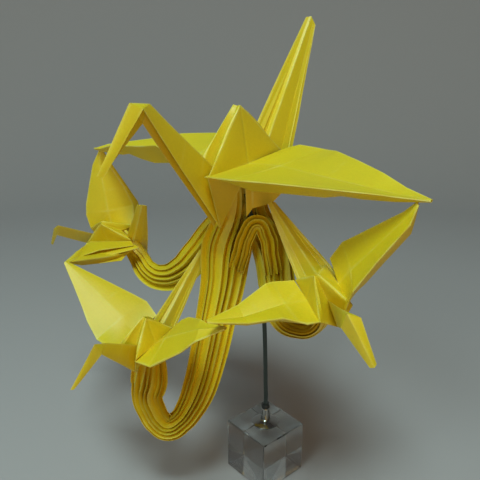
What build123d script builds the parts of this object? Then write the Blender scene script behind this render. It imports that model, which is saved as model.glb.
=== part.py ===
from build123d import *
from dataclasses import dataclass
from math import cos, radians, sin, sqrt, tan
import os

os.makedirs("parts", exist_ok=True)

# Everything is in millimetres. The origin is the middle of the clear block's
# bottom face, Z is up, and the viewer stands on the -Y side.

# Driving dimensions of the paper
LARGE_SQUARE = 232.0      # side of the square the large crane is folded from
SMALL_SQUARE = 116.0      # side of each small crane's square
PAPER = 0.5               # thickness a folded layer is given
PLEAT_PAPER = 0.35        # thickness of one layer in the pleated arms
TIP_LAP = 3.0             # how far a wing runs past the corner it shares
TIP_HALF = 0.9            # half width of a wing's tip
FLAP_SHORT = 4.0          # how far before that corner its turned-under flaps end
HINGE_TUCK = 2.0          # how far a wing's root runs inside the body

# Folds every crane shares, as shares of its square's side
HINGE = 0.117             # half the length of the fold a wing hangs from
KEEL_OUT = 0.081          # how far ahead of and behind the middle the keel points lie
KEEL_DOWN = 0.113         # how far below the hinges they lie
KEEL_HALF = 0.008         # half the width across the body there
CROWN_HALF = 0.009        # half the width across the hump's top
TUCK_OUT = 0.070          # how far out the paper between the hump's sides is tucked in

# Driving dimensions of the stand
BLOCK = 30.0              # edge of the clear block
BLOCK_TURN = 41.0         # degrees the block is turned about Z
BLOCK_EDGE = 0.6          # bevel along the block's edges
DOME_RADIUS = 7.2
DOME_RISE = 2.6           # height of the dome's rounded top above the block
DOME_RIM = 0.6            # upright part of the dome's rim
DOME_STEPS = 3            # sloping bands that make up its rounded top
SOCKET_FOOT = 2.7         # radius of the socket where it leaves the dome
SOCKET_MOUTH = 2.0        # radius of the socket at its top
SOCKET_TOP = 9.2          # height of the socket's top above the block
COLLAR_RADIUS = 2.2
COLLAR_RISE = 2.4
WIRE_RADIUS = 1.15
WIRE_ROOM = 0.1           # clearance left round the wire
WIRE_SINK = 5.0           # how far the wire's foot goes down into the socket

# The corners of the sheet the cranes share, wing tip to wing tip
CORNER_LARGE_UPPER_LEFT = Vector(-94, 51, 172)
CORNER_UPPER_LEFT_LOWER_LEFT = Vector(-98.5, -6, 127.5)
CORNER_LOWER_LEFT_RIGHT = Vector(-24.5, -62, 122)
CORNER_RIGHT_LARGE = Vector(52, -68, 174.5)


@dataclass
class Wing:
    """A wing's outline, measured along its middle crease from the hinge.

    front and back list (distance, half width, lift) along either edge. A flap
    is the paper turned under there: how much of the half width its inner edge
    keeps, and that edge's lift where the wing is widest."""

    corner: Vector
    front: tuple
    back: tuple
    front_flap: tuple
    back_flap: tuple


@dataclass
class Crane:
    """One crane: its square, where it floats, and how each limb is bent.

    spread is half the width across the two hinge lines and gape half the
    width across the neck's open edges at the bend. nape, brow, beak and tail
    are (forward, up) places in the crane's own frame, and jaws are those of
    the open edges' corners on the left and on the right."""

    square: float
    at: Vector
    yaw: float
    pitch: float
    roll: float
    spread: float
    gape: float
    nape: tuple
    brow: tuple
    jaws: tuple
    beak: tuple
    tail: tuple
    left_wing: Wing
    right_wing: Wing

    def plane(self):
        """The crane's frame: X forward, Y to its left, Z through its hump."""
        y, p, r = radians(self.yaw), radians(self.pitch), radians(self.roll)
        forward = Vector(cos(p) * cos(y), cos(p) * sin(y), sin(p))
        level_up = Vector(-sin(p) * cos(y), -sin(p) * sin(y), cos(p))
        up = level_up * cos(r) - level_up.cross(forward) * sin(r)
        return Plane(origin=self.at, x_dir=forward, z_dir=up)


LARGE = Crane(
    square=LARGE_SQUARE, at=Vector(-14, -2, 175.5), yaw=-130.5, pitch=-5, roll=0,
    spread=5.0, gape=2.3, nape=(50.2, 35.4), brow=(59.9, 37.2),
    jaws=((55.7, 34.5), (53, 28.2)), beak=(79, 14), tail=(-60, 60),
    left_wing=Wing(
        corner=CORNER_RIGHT_LARGE,
        front=((20, 30.8, 3.6), (38, 22.8, 3.4), (56.5, 14.7, 2.8), (76, 6.2, 1.5)),
        back=((7.5, 28.6, 4.3), (22, 30, 3.6), (33, 24.8, 5.1), (48.5, 17.8, 4.7), (64.5, 10.7, 3.9)),
        front_flap=(0.58, -4.5), back_flap=(0.53, -1.5),
    ),
    right_wing=Wing(
        corner=CORNER_LARGE_UPPER_LEFT,
        front=((21.5, 27.4, 12.9), (50, 16, 8.5), (74, 6.7, 4.8)),
        back=((14, 29, 6), (27.5, 27, 6.8), (45, 19, 7.4), (61, 12.7, 5.2)),
        front_flap=(0.66, 1.0), back_flap=(0.58, 1.0),
    ),
)
UPPER_LEFT = Crane(
    square=SMALL_SQUARE, at=Vector(-89, 47, 124), yaw=169, pitch=-7, roll=-42,
    spread=5.0, gape=1.6, nape=(27, 12.9), brow=(31.5, 9.5),
    jaws=((31.5, 5), (32, 4)), beak=(42, -6.8), tail=(-30, 29),
    left_wing=Wing(
        corner=CORNER_UPPER_LEFT_LOWER_LEFT,
        front=((4.5, 14.3, -2.3), (15, 13, -2)), back=((11, 14.5, -4.7), (20, 11, -4.5), (39, 4.5, -2)),
        front_flap=(0.6, -4.5), back_flap=(0.8, -8.8),
    ),
    right_wing=Wing(
        corner=CORNER_LARGE_UPPER_LEFT,
        front=((8, 14.8, 0), (18.5, 12, -0.4)), back=((11, 13.2, -5.5), (22, 10, -4.5), (36, 4.4, -2)),
        front_flap=(0.6, -2), back_flap=(1.1, -8.5),
    ),
)
LOWER_LEFT = Crane(
    square=SMALL_SQUARE, at=Vector(-58, -30, 98.5), yaw=-123, pitch=-7.5, roll=-8,
    spread=6.0, gape=1.6, nape=(24, 13.6), brow=(30.7, 17.4),
    jaws=((28.9, 11.7), (26.1, 8.1)), beak=(45.5, 3.9), tail=(-44.5, 27),
    left_wing=Wing(
        corner=CORNER_LOWER_LEFT_RIGHT,
        front=((11, 14.4, -4.6), (27.5, 8.5, -4.4)),
        back=((6.5, 14.6, 2.4), (13.5, 13.9, 2.9), (32, 6.6, 2.2)),
        front_flap=(0.6, -6.5), back_flap=(0.56, -1.5),
    ),
    right_wing=Wing(
        corner=CORNER_UPPER_LEFT_LOWER_LEFT,
        front=((5, 14.4, -2.5), (10, 13.6, -5.6), (19.5, 11.5, -4.6)), back=((9, 14.4, 4), (18.5, 12.2, 2.2)),
        front_flap=(0.6, -6), back_flap=(0.56, -0.6),
    ),
)
RIGHT = Crane(
    square=SMALL_SQUARE, at=Vector(20.5, -48, 130), yaw=-72, pitch=-17, roll=27,
    spread=7.5, gape=3.6, nape=(31.5, 22.8), brow=(36.9, 26.6),
    jaws=((38.6, 23.5), (36.1, 20.5)), beak=(50, 11), tail=(-41, 24),
    left_wing=Wing(
        corner=CORNER_RIGHT_LARGE,
        front=((12, 13, 6.5), (24, 9.5, 5), (43.5, 4.2, 0.8)), back=((9.5, 15.4, -0.5), (32, 7.3, 0)),
        front_flap=(0.75, -1), back_flap=(0.58, -3),
    ),
    right_wing=Wing(
        corner=CORNER_LOWER_LEFT_RIGHT,
        front=((6.5, 14.7, 2.2), (15.5, 11.2, 5.5), (28, 6, 2.6)), back=((9, 15.4, 0.3), (28, 7, 0.6)),
        front_flap=(0.64, -2), back_flap=(0.56, -2),
    ),
)
CRANES = (LARGE, UPPER_LEFT, LOWER_LEFT, RIGHT)


@dataclass
class Arm:
    """A pleated arm hanging from the large crane's belly to a small crane's.

    start and end are how far forward along each belly it is rooted, and the
    path is the middle of its broad face in between."""

    crane: Crane
    start: float
    end: float
    path: tuple
    widths: tuple
    pleats: int


ARMS = (
    Arm(crane=UPPER_LEFT, start=2, end=-6, pleats=4,
        path=((-17.5, 2.5, 151), (-25.5, 4, 142), (-36.5, 6, 126.5), (-45.5, 10, 116),
              (-57.5, 20, 108.5), (-66.5, 30, 108.5), (-72.5, 40, 112.5)),
        widths=(15, 15, 16, 16, 15, 13, 12, 12, 12)),
    Arm(crane=LOWER_LEFT, start=4, end=-4, pleats=6,
        path=((-15.5, -6, 149), (-20.5, -7, 133.5), (-22.5, -10, 117), (-26, -14, 100),
              (-29, -18, 85.5), (-34, -22, 68), (-38.5, -25, 56.5), (-46, -27, 47.5),
              (-54, -28, 49.5), (-58.5, -29, 61.5), (-58.5, -29, 72.5)),
        widths=(16, 21, 24, 21, 19, 18, 16, 13, 11.5, 12.5, 15.5, 19, 20)),
    Arm(crane=RIGHT, start=-7, end=0, pleats=5,
        path=((-3.5, -2, 150), (1.5, -8, 137), (3.5, -15, 121), (3.5, -22, 113.5),
              (5.5, -29, 108), (11, -37, 107.5), (17, -43.5, 112)),
        widths=(15, 18, 19, 18, 15, 12, 10, 9.5, 11)),
)
# The pleats that run up out of one front arm, turn over and run down the other
GATHER_PATH = (
    (-15.5, -8.5, 124), (-13.3, -10.5, 133), (-10.8, -11, 142), (-5.6, -11, 148.3), (-1.4, -11.3, 142),
    (0.3, -12.4, 133), (1.8, -13.4, 124),
)
GATHER_WIDTHS = (8, 8, 8, 8, 8, 8, 8)
GATHER_PLEATS = 3
ARM_STEPS = 2             # straight pieces between two points of an arm's path
PLEAT_DEPTH = 2.6         # from the peaks to the valleys of an arm's pleats
VIEW = Vector(-0.05, -0.9, 0.3)   # the way the arms' broad faces look
CORNER_TAB = 3.0          # side of the uncut corner left between two wing tips

# The wire's middle line above the socket, up into the large crane's belly
WIRE_PATH = ((0, 0, 50), (-4, 0, 122), (-8.5, 0, 148), (-11, 0, 160))


def triangle(a, b, c):
    return Face(Wire.make_polygon([a, b, c], close=True))


def patch(near, far):
    """Two triangles between two pairs of points."""
    (a, b), (d, c) = near, far
    return [triangle(a, b, c), triangle(a, c, d)]


def skin(rows):
    """Triangles over a grid of points, given row by row."""
    faces = []
    for near, far in zip(rows, rows[1:]):
        for j in range(len(near) - 1):
            faces += patch(near[j:j + 2], far[j:j + 2])
    return faces


def layer(outer, inner):
    """A solid sheet of paper between two matching grids of points."""
    rim = skin([outer[0], inner[0]]) + skin([outer[-1], inner[-1]])
    for j in (0, -1):
        rim += skin([[row[j] for row in outer], [row[j] for row in inner]])
    return Solid(Shell(skin(outer) + skin(inner) + rim))


def thickened(rows, thickness):
    """The grid that lies one thickness below a folded grid, mitred at its folds."""
    result = []
    for i, row in enumerate(rows):
        ahead, behind = rows[min(i + 1, len(rows) - 1)], rows[max(i - 1, 0)]
        below = []
        for j, point in enumerate(row):
            along = ahead[j] - behind[j]
            normals = [
                (row[k + 1] - row[k]).cross(along).normalized()
                for k in (j - 1, j) if 0 <= k < len(row) - 1
            ]
            total = sum(normals, Vector(0, 0, 0))
            mitre = total * (len(normals) / max(total.dot(total), 0.12))
            below.append(point + mitre * thickness)
        result.append(below)
    return result


def plate(*corners):
    """A flat panel of paper, half its thickness each side of its corners."""
    return extrude(triangle(*corners), PAPER / 2, both=True)


def panels(rows):
    """Plates over a grid of points; a triangle whose corners meet is left out."""
    plates = []
    for near, far in zip(rows, rows[1:]):
        for (a, b), (d, c) in zip(zip(near, near[1:]), zip(far, far[1:])):
            for one, two, three in ((a, b, c), (a, c, d)):
                if (two - one).cross(three - one).length > 0.01:
                    plates.append(plate(one, two, three))
    return plates


def body(crane):
    """Hump, tucked-in gussets and side panels, each fold line shared by two."""
    s, w, crown = crane.square, crane.spread, CROWN_HALF * crane.square
    r = HINGE * s
    top = sqrt(r * r - w * w)
    parts = []
    for end, dip in ((1, 0.0), (-1, 0.25)):
        tuck = Vector(TUCK_OUT * s * end, 0, dip * top)
        parts.append(plate(tuck, Vector(0, crown, top), Vector(0, -crown, top)))
        for side in (1, -1):
            crest = Vector(0, side * crown, top)
            root = Vector(r * end, side * w, 0)
            middle = Vector(0, side * w, 0)
            past_middle = Vector(-0.015 * s * end, side * w, 0)
            foot = Vector(KEEL_OUT * s * end, side * KEEL_HALF * s, -KEEL_DOWN * s)
            parts += [
                plate(root, tuck, crest), plate(root, crest, middle), plate(root, foot, past_middle),
            ]
    return parts


def sheet(rows, below):
    """A thin sheet over rows of points, one thickness deep towards below."""
    return layer(rows, [[point + below * PAPER for point in row] for row in rows])


def edge_at(outline, distance):
    """Half width and lift of a wing's edge at a distance from the hinge."""
    for (start, *near), (stop, *far) in zip(outline, outline[1:]):
        if distance <= stop:
            return between(near, far, (distance - start) / (stop - start))


def fold_wing(crane, side):
    """One wing, from inside the body to just past the corner it shares.

    The broad top turns under at both edges; the two turned-under flaps stop
    short of the middle crease and hang open."""
    wing = crane.left_wing if side > 0 else crane.right_wing
    hinge = Vector(0, side * (crane.spread - HINGE_TUCK), 0)
    reach = crane.plane().to_local_coords(wing.corner) - hinge
    along = reach.normalized()
    up = Vector(1, 0, 0).cross(along).normalized() * side
    forward = along.cross(up) * side
    root, end = HINGE * crane.square, reach.length + TIP_LAP
    flap_end = reach.length - FLAP_SHORT
    place = lambda a, c, h: hinge + along * a + forward * c + up * h
    outlines = [[(0, root, 0), *edge, (end, TIP_HALF, 0)] for edge in (wing.front, wing.back)]
    rows = []
    for a in sorted({station[0] for outline in outlines for station in outline}):
        (front, front_lift), (back, back_lift) = (edge_at(outline, a) for outline in outlines)
        rows.append([place(a, front, front_lift), place(a, 0, 0), place(a, -back, back_lift)])
    parts = [sheet(rows, -up)]
    flaps = (wing.front_flap, wing.back_flap)
    for outline, (share, drop), ahead in zip(outlines, flaps, (1, -1)):
        widest = max(half for _, half, _ in outline)
        parts.append(sheet([
            [
                place(a, ahead * half, lift - PAPER / 2),
                place(a, ahead * share * half, drop * half / widest - PAPER),
            ]
            for a, half, lift in (*outline[:-1], (flap_end, *edge_at(outline, flap_end)))
        ], -up))
    return parts


def between(a, b, t):
    return (a[0] + t * (b[0] - a[0]), a[1] + t * (b[1] - a[1]))


def neck_and_head(crane):
    """A folded strip up from the keel to the nape, turned there and down to the beak."""
    s, half = crane.square, crane.gape
    foot = (KEEL_OUT * s, -KEEL_DOWN * s)
    chin = (crane.beak[0] - 0.010 * s, crane.beak[1] - 0.004 * s)
    stations = (
        ((TUCK_OUT * s, 0), foot, foot, KEEL_HALF * s),
        (crane.nape, *crane.jaws, half),
        (crane.brow, *crane.jaws, half),
        (crane.beak, chin, chin, 0.35 * half),
    )
    return panels([
        [Vector(left[0], wide, left[1]), Vector(ridge[0], 0, ridge[1]), Vector(right[0], -wide, right[1])]
        for ridge, left, right, wide in stations
    ])


def tail(crane):
    """The tail: each side of its V is creased once more along its middle."""
    s = crane.square
    upper, lower = (-0.066 * s, 0.06 * s), (-0.165 * s, -0.01 * s)
    tip = crane.tail
    tip_lower = (tip[0] - 0.012 * s, tip[1] - 0.012 * s)
    stations = [((-0.055 * s, -0.02 * s), (-KEEL_OUT * s, -KEEL_DOWN * s), 0.019 * s)]
    for t in (0.0, 0.5, 1.0):
        stations.append((between(upper, tip, t), between(lower, tip_lower, t), s * (0.016 - 0.010 * t)))
    rows = []
    for ridge, edge, half in stations:
        crease = between(ridge, edge, 0.5)
        rows.append([
            Vector(edge[0], half, edge[1]), Vector(crease[0], 1.5 * half, crease[1]),
            Vector(ridge[0], 0, ridge[1]),
            Vector(crease[0], -1.5 * half, crease[1]), Vector(edge[0], -half, edge[1]),
        ])
    return layer(rows, thickened(rows, PAPER))


def fold_crane(crane):
    place = crane.plane().location
    parts = [
        *body(crane), *fold_wing(crane, 1), *fold_wing(crane, -1), *neck_and_head(crane), tail(crane),
    ]
    return [part.moved(place) for part in parts]


def smooth_path(points, steps):
    """Points along a smooth curve through the given ones."""
    points = [Vector(*p) for p in points]
    padded = [points[0] * 2 - points[1], *points, points[-1] * 2 - points[-2]]
    curve = []
    for a, b, c, d in zip(padded, padded[1:], padded[2:], padded[3:]):
        for k in range(steps):
            t = k / steps
            curve.append((
                b * 2 + (c - a) * t + (a * 2 - b * 5 + c * 4 - d) * t ** 2
                + (b * 3 - a - c * 3 + d) * t ** 3
            ) * 0.5)
    return curve + [points[-1]]


def pleated_strip(points, widths, pleats):
    """A strip pleated lengthways like a fan, bent along a smooth line."""
    path = smooth_path(points, ARM_STEPS)
    widths = [w.X for w in smooth_path([(w, 0, 0) for w in widths], ARM_STEPS)]
    folds = 2 * pleats
    top, bottom = [], []
    for i, (centre, width) in enumerate(zip(path, widths)):
        along = (path[min(i + 1, len(path) - 1)] - path[max(i - 1, 0)]).normalized()
        across = along.cross(VIEW).normalized()
        outward = across.cross(along).normalized()
        steep = sqrt(1 + (PLEAT_DEPTH * folds / width) ** 2)
        upper = [
            centre + across * (width * (k / folds - 0.5)) + outward * (PLEAT_DEPTH / 2 * (-1) ** k)
            for k in range(folds + 1)
        ]
        top.append(upper)
        bottom.append([point - outward * (PLEAT_PAPER * steep) for point in upper])
    return layer(top, bottom)


def pleated_arm(arm):
    first = LARGE.plane().from_local_coords(Vector(arm.start, 0, -0.02 * LARGE.square))
    last = arm.crane.plane().from_local_coords(Vector(arm.end, 0, -0.02 * arm.crane.square))
    return pleated_strip([first, *arm.path, last], arm.widths, arm.pleats)


def corner_tab(corner, one, other):
    """The uncut corner of the sheet that holds two wing tips together."""
    up = one.plane().z_dir + other.plane().z_dir
    plane = Plane(origin=corner, z_dir=up)
    return plane.location * Box(CORNER_TAB, CORNER_TAB, 2.5 * PAPER)


def rod(outline):
    """A rod of the given outline along the wire's line: straight runs joined by wide arcs."""
    line = [Vector(0, 0, BLOCK + SOCKET_TOP - WIRE_SINK), *(Vector(*point) for point in WIRE_PATH)]
    runs = [b - a for a, b in zip(line, line[1:])]
    bends = [
        0.45 * min(one.length, other.length) / tan(radians(one.get_angle(other) / 2))
        for one, other in zip(runs, runs[1:])
    ]
    section = Plane(origin=line[0], z_dir=(0, 0, 1)) * outline
    return sweep(section, path=FilletPolyline(*line, radius=bends))


def folded_sheet(room):
    pieces = []
    for crane in CRANES:
        pieces += fold_crane(crane)
    pieces += [pleated_arm(arm) for arm in ARMS]
    pieces.append(pleated_strip(GATHER_PATH, GATHER_WIDTHS, GATHER_PLEATS))
    pieces += [
        corner_tab(CORNER_LARGE_UPPER_LEFT, LARGE, UPPER_LEFT),
        corner_tab(CORNER_UPPER_LEFT_LOWER_LEFT, UPPER_LEFT, LOWER_LEFT),
        corner_tab(CORNER_LOWER_LEFT_RIGHT, LOWER_LEFT, RIGHT),
        corner_tab(CORNER_RIGHT_LARGE, RIGHT, LARGE),
    ]
    return pieces[0].fuse(*pieces[1:]).cut(room)


def clear_block():
    block = Box(BLOCK, BLOCK, BLOCK, align=(Align.CENTER, Align.CENTER, Align.MIN))
    return chamfer(block.edges(), BLOCK_EDGE).rotate(Axis.Z, BLOCK_TURN)


def stem_socket(bore):
    """The bright dome and its tapering neck, turned about the wire's foot."""
    swell = DOME_RISE - DOME_RIM
    dome_round = (DOME_RADIUS ** 2 + swell ** 2) / (2 * swell)
    outline = [(0, 0), (DOME_RADIUS, 0)]
    for k in range(DOME_STEPS + 1):
        x = DOME_RADIUS + (SOCKET_FOOT - DOME_RADIUS) * k / DOME_STEPS
        outline.append((x, DOME_RISE - dome_round + sqrt(dome_round ** 2 - x ** 2)))
    outline += [(SOCKET_MOUTH, SOCKET_TOP), (0, SOCKET_TOP)]
    profile = make_face(Polyline(*((x, 0, z) for x, z in outline), close=True))
    return Pos(0, 0, BLOCK) * revolve(profile, Axis.Z) - bore


def stem_collar(bore):
    collar = Cylinder(COLLAR_RADIUS, COLLAR_RISE, align=(Align.CENTER, Align.CENTER, Align.MIN))
    collar = chamfer(collar.edges(), 0.4)
    return Pos(0, 0, BLOCK + SOCKET_TOP) * collar - bore


def main():
    hole = WIRE_RADIUS + WIRE_ROOM
    bore = Pos(0, 0, BLOCK + SOCKET_TOP) * Cylinder(hole, 2 * WIRE_SINK)
    nodes = {
        "folded_sheet": folded_sheet(rod(RegularPolygon(hole, 6, major_radius=False))),
        "stem_wire": rod(Circle(WIRE_RADIUS)),
        "stem_socket": stem_socket(bore),
        "stem_collar": stem_collar(bore),
        "clear_block": clear_block(),
    }
    for name, shape in nodes.items():
        solids = shape.solids()
        print(name, len(solids), "solid", round(shape.volume, 1), len(shape.faces()), shape.bounding_box())
        export_step(solids[0] if len(solids) == 1 else shape, f"parts/{name}.step")


main()
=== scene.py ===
# %% [markdown]
# # Connected cranes folded from one sheet
#
# The object is a single sheet of yellow paper, cut part-way and folded into a large crane above a
# ring of three small ones. It stands on a thin wire in a clear block. The construction model gives
# the true places and sizes. This script lays the real thing's looks over it: thin paper with crisp
# folds, painted a little paler as wear and as a highlight, tightly pleated arms, a turned metal socket and a
# clear block.

# %% Load the frame
from math import cos, pi, radians, sin, sqrt, tan

import bmesh
import bpy
import numpy as np
from mathutils import Matrix, Vector, noise


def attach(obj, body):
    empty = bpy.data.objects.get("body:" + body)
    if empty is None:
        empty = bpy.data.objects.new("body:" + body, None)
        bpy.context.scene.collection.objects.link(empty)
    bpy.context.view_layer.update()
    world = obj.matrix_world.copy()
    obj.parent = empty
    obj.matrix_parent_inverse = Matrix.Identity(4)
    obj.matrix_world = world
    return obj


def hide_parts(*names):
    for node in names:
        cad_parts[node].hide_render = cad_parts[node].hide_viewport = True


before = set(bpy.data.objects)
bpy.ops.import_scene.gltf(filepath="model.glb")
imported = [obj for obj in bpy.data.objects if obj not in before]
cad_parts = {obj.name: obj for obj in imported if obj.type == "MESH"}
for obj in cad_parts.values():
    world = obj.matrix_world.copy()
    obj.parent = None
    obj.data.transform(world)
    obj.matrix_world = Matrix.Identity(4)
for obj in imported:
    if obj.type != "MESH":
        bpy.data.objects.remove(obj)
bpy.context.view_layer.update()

MM = 0.001
print("nodes:", sorted(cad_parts))

# %% [markdown]
# ## The camera
#
# The photograph looks a little down on the cranes. Its angle was found from the edges of the clear
# block and the wire, which are known shapes, and then the cranes were placed in front of it.

# %% Camera
CAMERA_AT = Vector((-14, -264, 227.5)) * MM
CAMERA_DOWN = radians(19)
CAMERA_FIELD = radians(46)
SENSOR_WIDTH = 36

camera = bpy.data.objects.new("camera", bpy.data.cameras.new("camera"))
bpy.context.collection.objects.link(camera)
camera.location = CAMERA_AT
camera.rotation_euler = (pi / 2 - CAMERA_DOWN, 0, 0)
camera.data.sensor_width = SENSOR_WIDTH
camera.data.lens = SENSOR_WIDTH / 2 / tan(CAMERA_FIELD / 2)
camera.data.clip_start = 0.01
bpy.context.scene.camera = camera
print("lens", round(camera.data.lens, 1), "mm")

# %% [markdown]
# ## Where each crane floats
#
# Every crane is folded in its own upright frame: X forward, Y to its left, Z up through its hump,
# with the origin midway between its two wing hinges. One matrix then carries it to its place, so
# all four share the same folding code. These are the construction model's own places, in
# millimetres and degrees.
#
# - `turn` is yaw, pitch and roll. `spread` is half the distance between the wings' hinges.
# - `gape` is half the neck's opening, and `nape`, `brow`, `jaws` and `beak` are (forward, up)
#   points of the neck and head.
# - `tuck` is how far out the paper between the hump's sides is tucked, as a share of the square.
# - `ridge`, `left` and `right` are the tail's fold and its open edges, each from root to end.

# %% Crane frames
LARGE_SQUARE, SMALL_SQUARE = 232, 116

CRANES = {
    "large": dict(
        square=LARGE_SQUARE, at=(-14, -2, 175.5), turn=(-130.5, -5, 0), spread=5.0, tuck=0.070, gape=2.3,
        nape=(50.2, 35.4), brow=(59.9, 37.2), jaws=((55.7, 34.5), (53, 28.2)), beak=(79, 14),
        ridge=((-23.7, 0, 8.5), (-60.2, 0, 60.8)), left=((-32.5, 5, -0.2), (-61.3, 1.6, 56.8)),
        right=((-21.3, -5, 14.1), (-58.4, -1.6, 60.6)),
    ),
    "upper_left": dict(
        square=SMALL_SQUARE, at=(-89, 47, 124), turn=(169, -7, -42), spread=5.0, tuck=0.070, gape=1.6,
        nape=(27, 12.9), brow=(31.5, 9.5), jaws=((31.5, 5), (32, 4)), beak=(42, -6.8),
        ridge=((-14, 4.2, -2), (-31.9, 2.6, 31.3)), left=((-20.1, 3.2, -5.8), (-33.3, 1.6, 28.6)),
        right=((-10.7, 3.2, -0.1), (-28.6, 1.6, 30.1)),
    ),
    "lower_left": dict(
        square=SMALL_SQUARE, at=(-58, -30, 98.5), turn=(-123, -7.5, -8), spread=6.0, tuck=0.050, gape=1.6,
        nape=(24, 13.6), brow=(30.7, 17.4), jaws=((28.9, 11.7), (26.1, 8.1)), beak=(45.5, 3.9),
        ridge=((-12.8, 0, 0.2), (-44.5, 0, 27.4)), left=((-18.3, 3, -2), (-45.2, 1.6, 24.4)),
        right=((-9.4, -3, 2.5), (-44.3, -1.6, 26.5)),
    ),
    "right": dict(
        square=SMALL_SQUARE, at=(20.5, -48, 130), turn=(-72, -17, 27), spread=7.5, tuck=0.045, gape=3.6,
        nape=(31.5, 22.8), brow=(36.9, 26.6), jaws=((38.6, 23.5), (36.1, 20.5)), beak=(50, 11),
        ridge=((-12, 1.5, 3.3), (-41, -0.4, 23.2)), left=((-14, 7.9, 1.5), (-41.5, 1.1, 21.4)),
        right=((-14, -5.9, 0.5), (-41.5, -2, 22.4)),
    ),
}


def crane_place(crane):
    """The matrix from a crane's own frame to the shared one."""
    yaw, pitch, roll = (radians(angle) for angle in crane["turn"])
    forward = Vector((cos(pitch) * cos(yaw), cos(pitch) * sin(yaw), sin(pitch)))
    level_up = Vector((-sin(pitch) * cos(yaw), -sin(pitch) * sin(yaw), cos(pitch)))
    up = level_up * cos(roll) - level_up.cross(forward) * sin(roll)
    left = up.cross(forward)
    turn = Matrix((forward, left, up)).transposed().to_4x4()
    return Matrix.Translation(Vector(crane["at"])) @ turn


for name, crane in CRANES.items():
    forward = crane_place(crane).to_3x3() @ Vector((1, 0, 0))
    print(name, "faces", [round(v, 2) for v in forward])

# %% [markdown]
# ## A sheet of folded paper
#
# Paper bends only at its folds, so a sheet is a coarse grid of corner points, filled in with small
# cells. A cloth simulation would soften the folds, and these have to stay crisp. Each cell corner
# also remembers how near it is to a fold, in an attribute called `fold`, so that the paper's colour
# can be painted paler there, as rubbed wear and as a highlight on the crease. A panel may bow a
# little between its folds. A very slight shared waviness depends only on the place, so sheets that meet still
# meet.

# %% Sheets of paper
WAVE_LONG, WAVE_LONG_SIZE = 30.0, 0.40
WAVE_SHORT, WAVE_SHORT_SIZE = 8.0, 0.07
FOLD_WIDTH = 0.38         # how far from a fold its paler colour of wear and painted highlight fades
PAPER = 0.24              # thickness of a sheet as it is seen, layers together
noise.seed_set(4)         # without a seed of its own the noise is another one on each run


def waviness(point):
    slow = noise.noise_vector(point / WAVE_LONG) * WAVE_LONG_SIZE
    quick = noise.noise_vector(point / WAVE_SHORT) * WAVE_SHORT_SIZE
    return slow + quick


def spread_between(values, counts):
    """Values along a broken line, with counts[i] steps in its i-th piece."""
    result = []
    for start, end, count in zip(values, values[1:], counts):
        result += [start.lerp(end, k / count) for k in range(count)]
    return result + [values[-1]]


def step_counts(rows, cell):
    """How many cells each coarse row and column gets so that none is much over the cell size."""
    def steps(lines):
        widest = [max((a - b).length for a, b in zip(one, other)) for one, other in zip(lines, lines[1:])]
        return [max(1, round(gap / cell)) for gap in widest]

    return steps(rows), steps(list(zip(*rows)))


def bowed(grid, counts, bow):
    """Pushes the middle of each column of panels out of its plane, leaving the folds in place."""
    inside = [sin(pi * k / count) for count in counts for k in range(count)] + [0.0]
    last = len(grid) - 1
    for i in range(1, last):
        for j, amount in enumerate(inside):
            if amount:
                normal = (grid[i][j + 1] - grid[i][j - 1]).cross(grid[i + 1][j] - grid[i - 1][j]).normalized()
                grid[i][j] = grid[i][j] + normal * (bow * amount * sin(pi * i / last))


class Paper:
    """The sheets that make one piece: their points, cells and fold marks of wear and painted highlight."""

    def __init__(self, place):
        self.place = place
        self.points, self.cells, self.wear_and_highlight = [], [], []

    def sheet(self, rows, folds=(), marks=(), cell=1.3, bow=0.0):
        """Adds a sheet over coarse rows of points.

        folds lists (column, strength) for the folds that run down the rows, and marks lists
        (point, point, strength) for crease marks that cross it."""
        rows = [[Vector(p) for p in row] for row in rows]
        down, over = step_counts(rows, cell)
        filled = [spread_between(row, over) for row in rows]
        columns = [spread_between(list(column), down) for column in zip(*filled)]
        grid = [list(row) for row in zip(*columns)]
        if bow:
            bowed(grid, over, bow)
        lines = [
            (one[column], other[column], strength)
            for column, strength in folds for one, other in zip(rows, rows[1:])
        ]
        self.keep(grid, lines + [(Vector(a), Vector(b), strength) for a, b, strength in marks])

    def keep(self, grid, lines):
        """Stores a filled grid in the shared frame, with the wear and painted highlight of its (start, end,
        strength) lines.
        """
        points = [p for row in grid for p in row]
        wear_and_highlight = np.zeros(len(points))
        for a, b, strength in lines:
            wear_and_highlight = np.maximum(wear_and_highlight, strength * near_line(np.array(points), np.array(a), np.array(b)))
        self.wear_and_highlight += list(wear_and_highlight)
        first, width = len(self.points), len(grid[0])
        for p in points:
            world = self.place @ p
            self.points.append(world + waviness(world))
        for i in range(len(grid) - 1):
            for j in range(width - 1):
                a = first + i * width + j
                self.cells.append((a, a + 1, a + 1 + width, a + width))

    def facet(self, a, b, c, edges=(0.0, 0.0, 0.0), bow=0.0):
        """Adds a triangle; edges gives the wear and painted highlight of a-b, b-c and c-a."""
        points = [Vector(a), Vector(b), Vector(c)]
        sides = [(points[i], points[(i + 1) % 3], edges[i]) for i in range(3) if edges[i]]
        self.sheet([[points[0]] * 2, points[1:]], marks=sides, bow=bow)


def near_line(points, a, b):
    """1 on the line from a to b, falling off to 0 a fold's width away."""
    along = b - a
    share = np.clip((points - a) @ along / max(along @ along, 1e-9), 0, 1)
    gap = np.linalg.norm(points - a - share[:, None] * along, axis=1)
    return np.exp(-(gap / FOLD_WIDTH) ** 2)


print("waviness at the origin:", [round(v, 3) for v in waviness(Vector((0, 0, 0)))], "mm")

# %% A mesh from the sheets
MERGE, SLIVER = 1e-6, 1e-7
CRISP = 12                # degrees; a sharper fold stays a crisp edge


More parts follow.
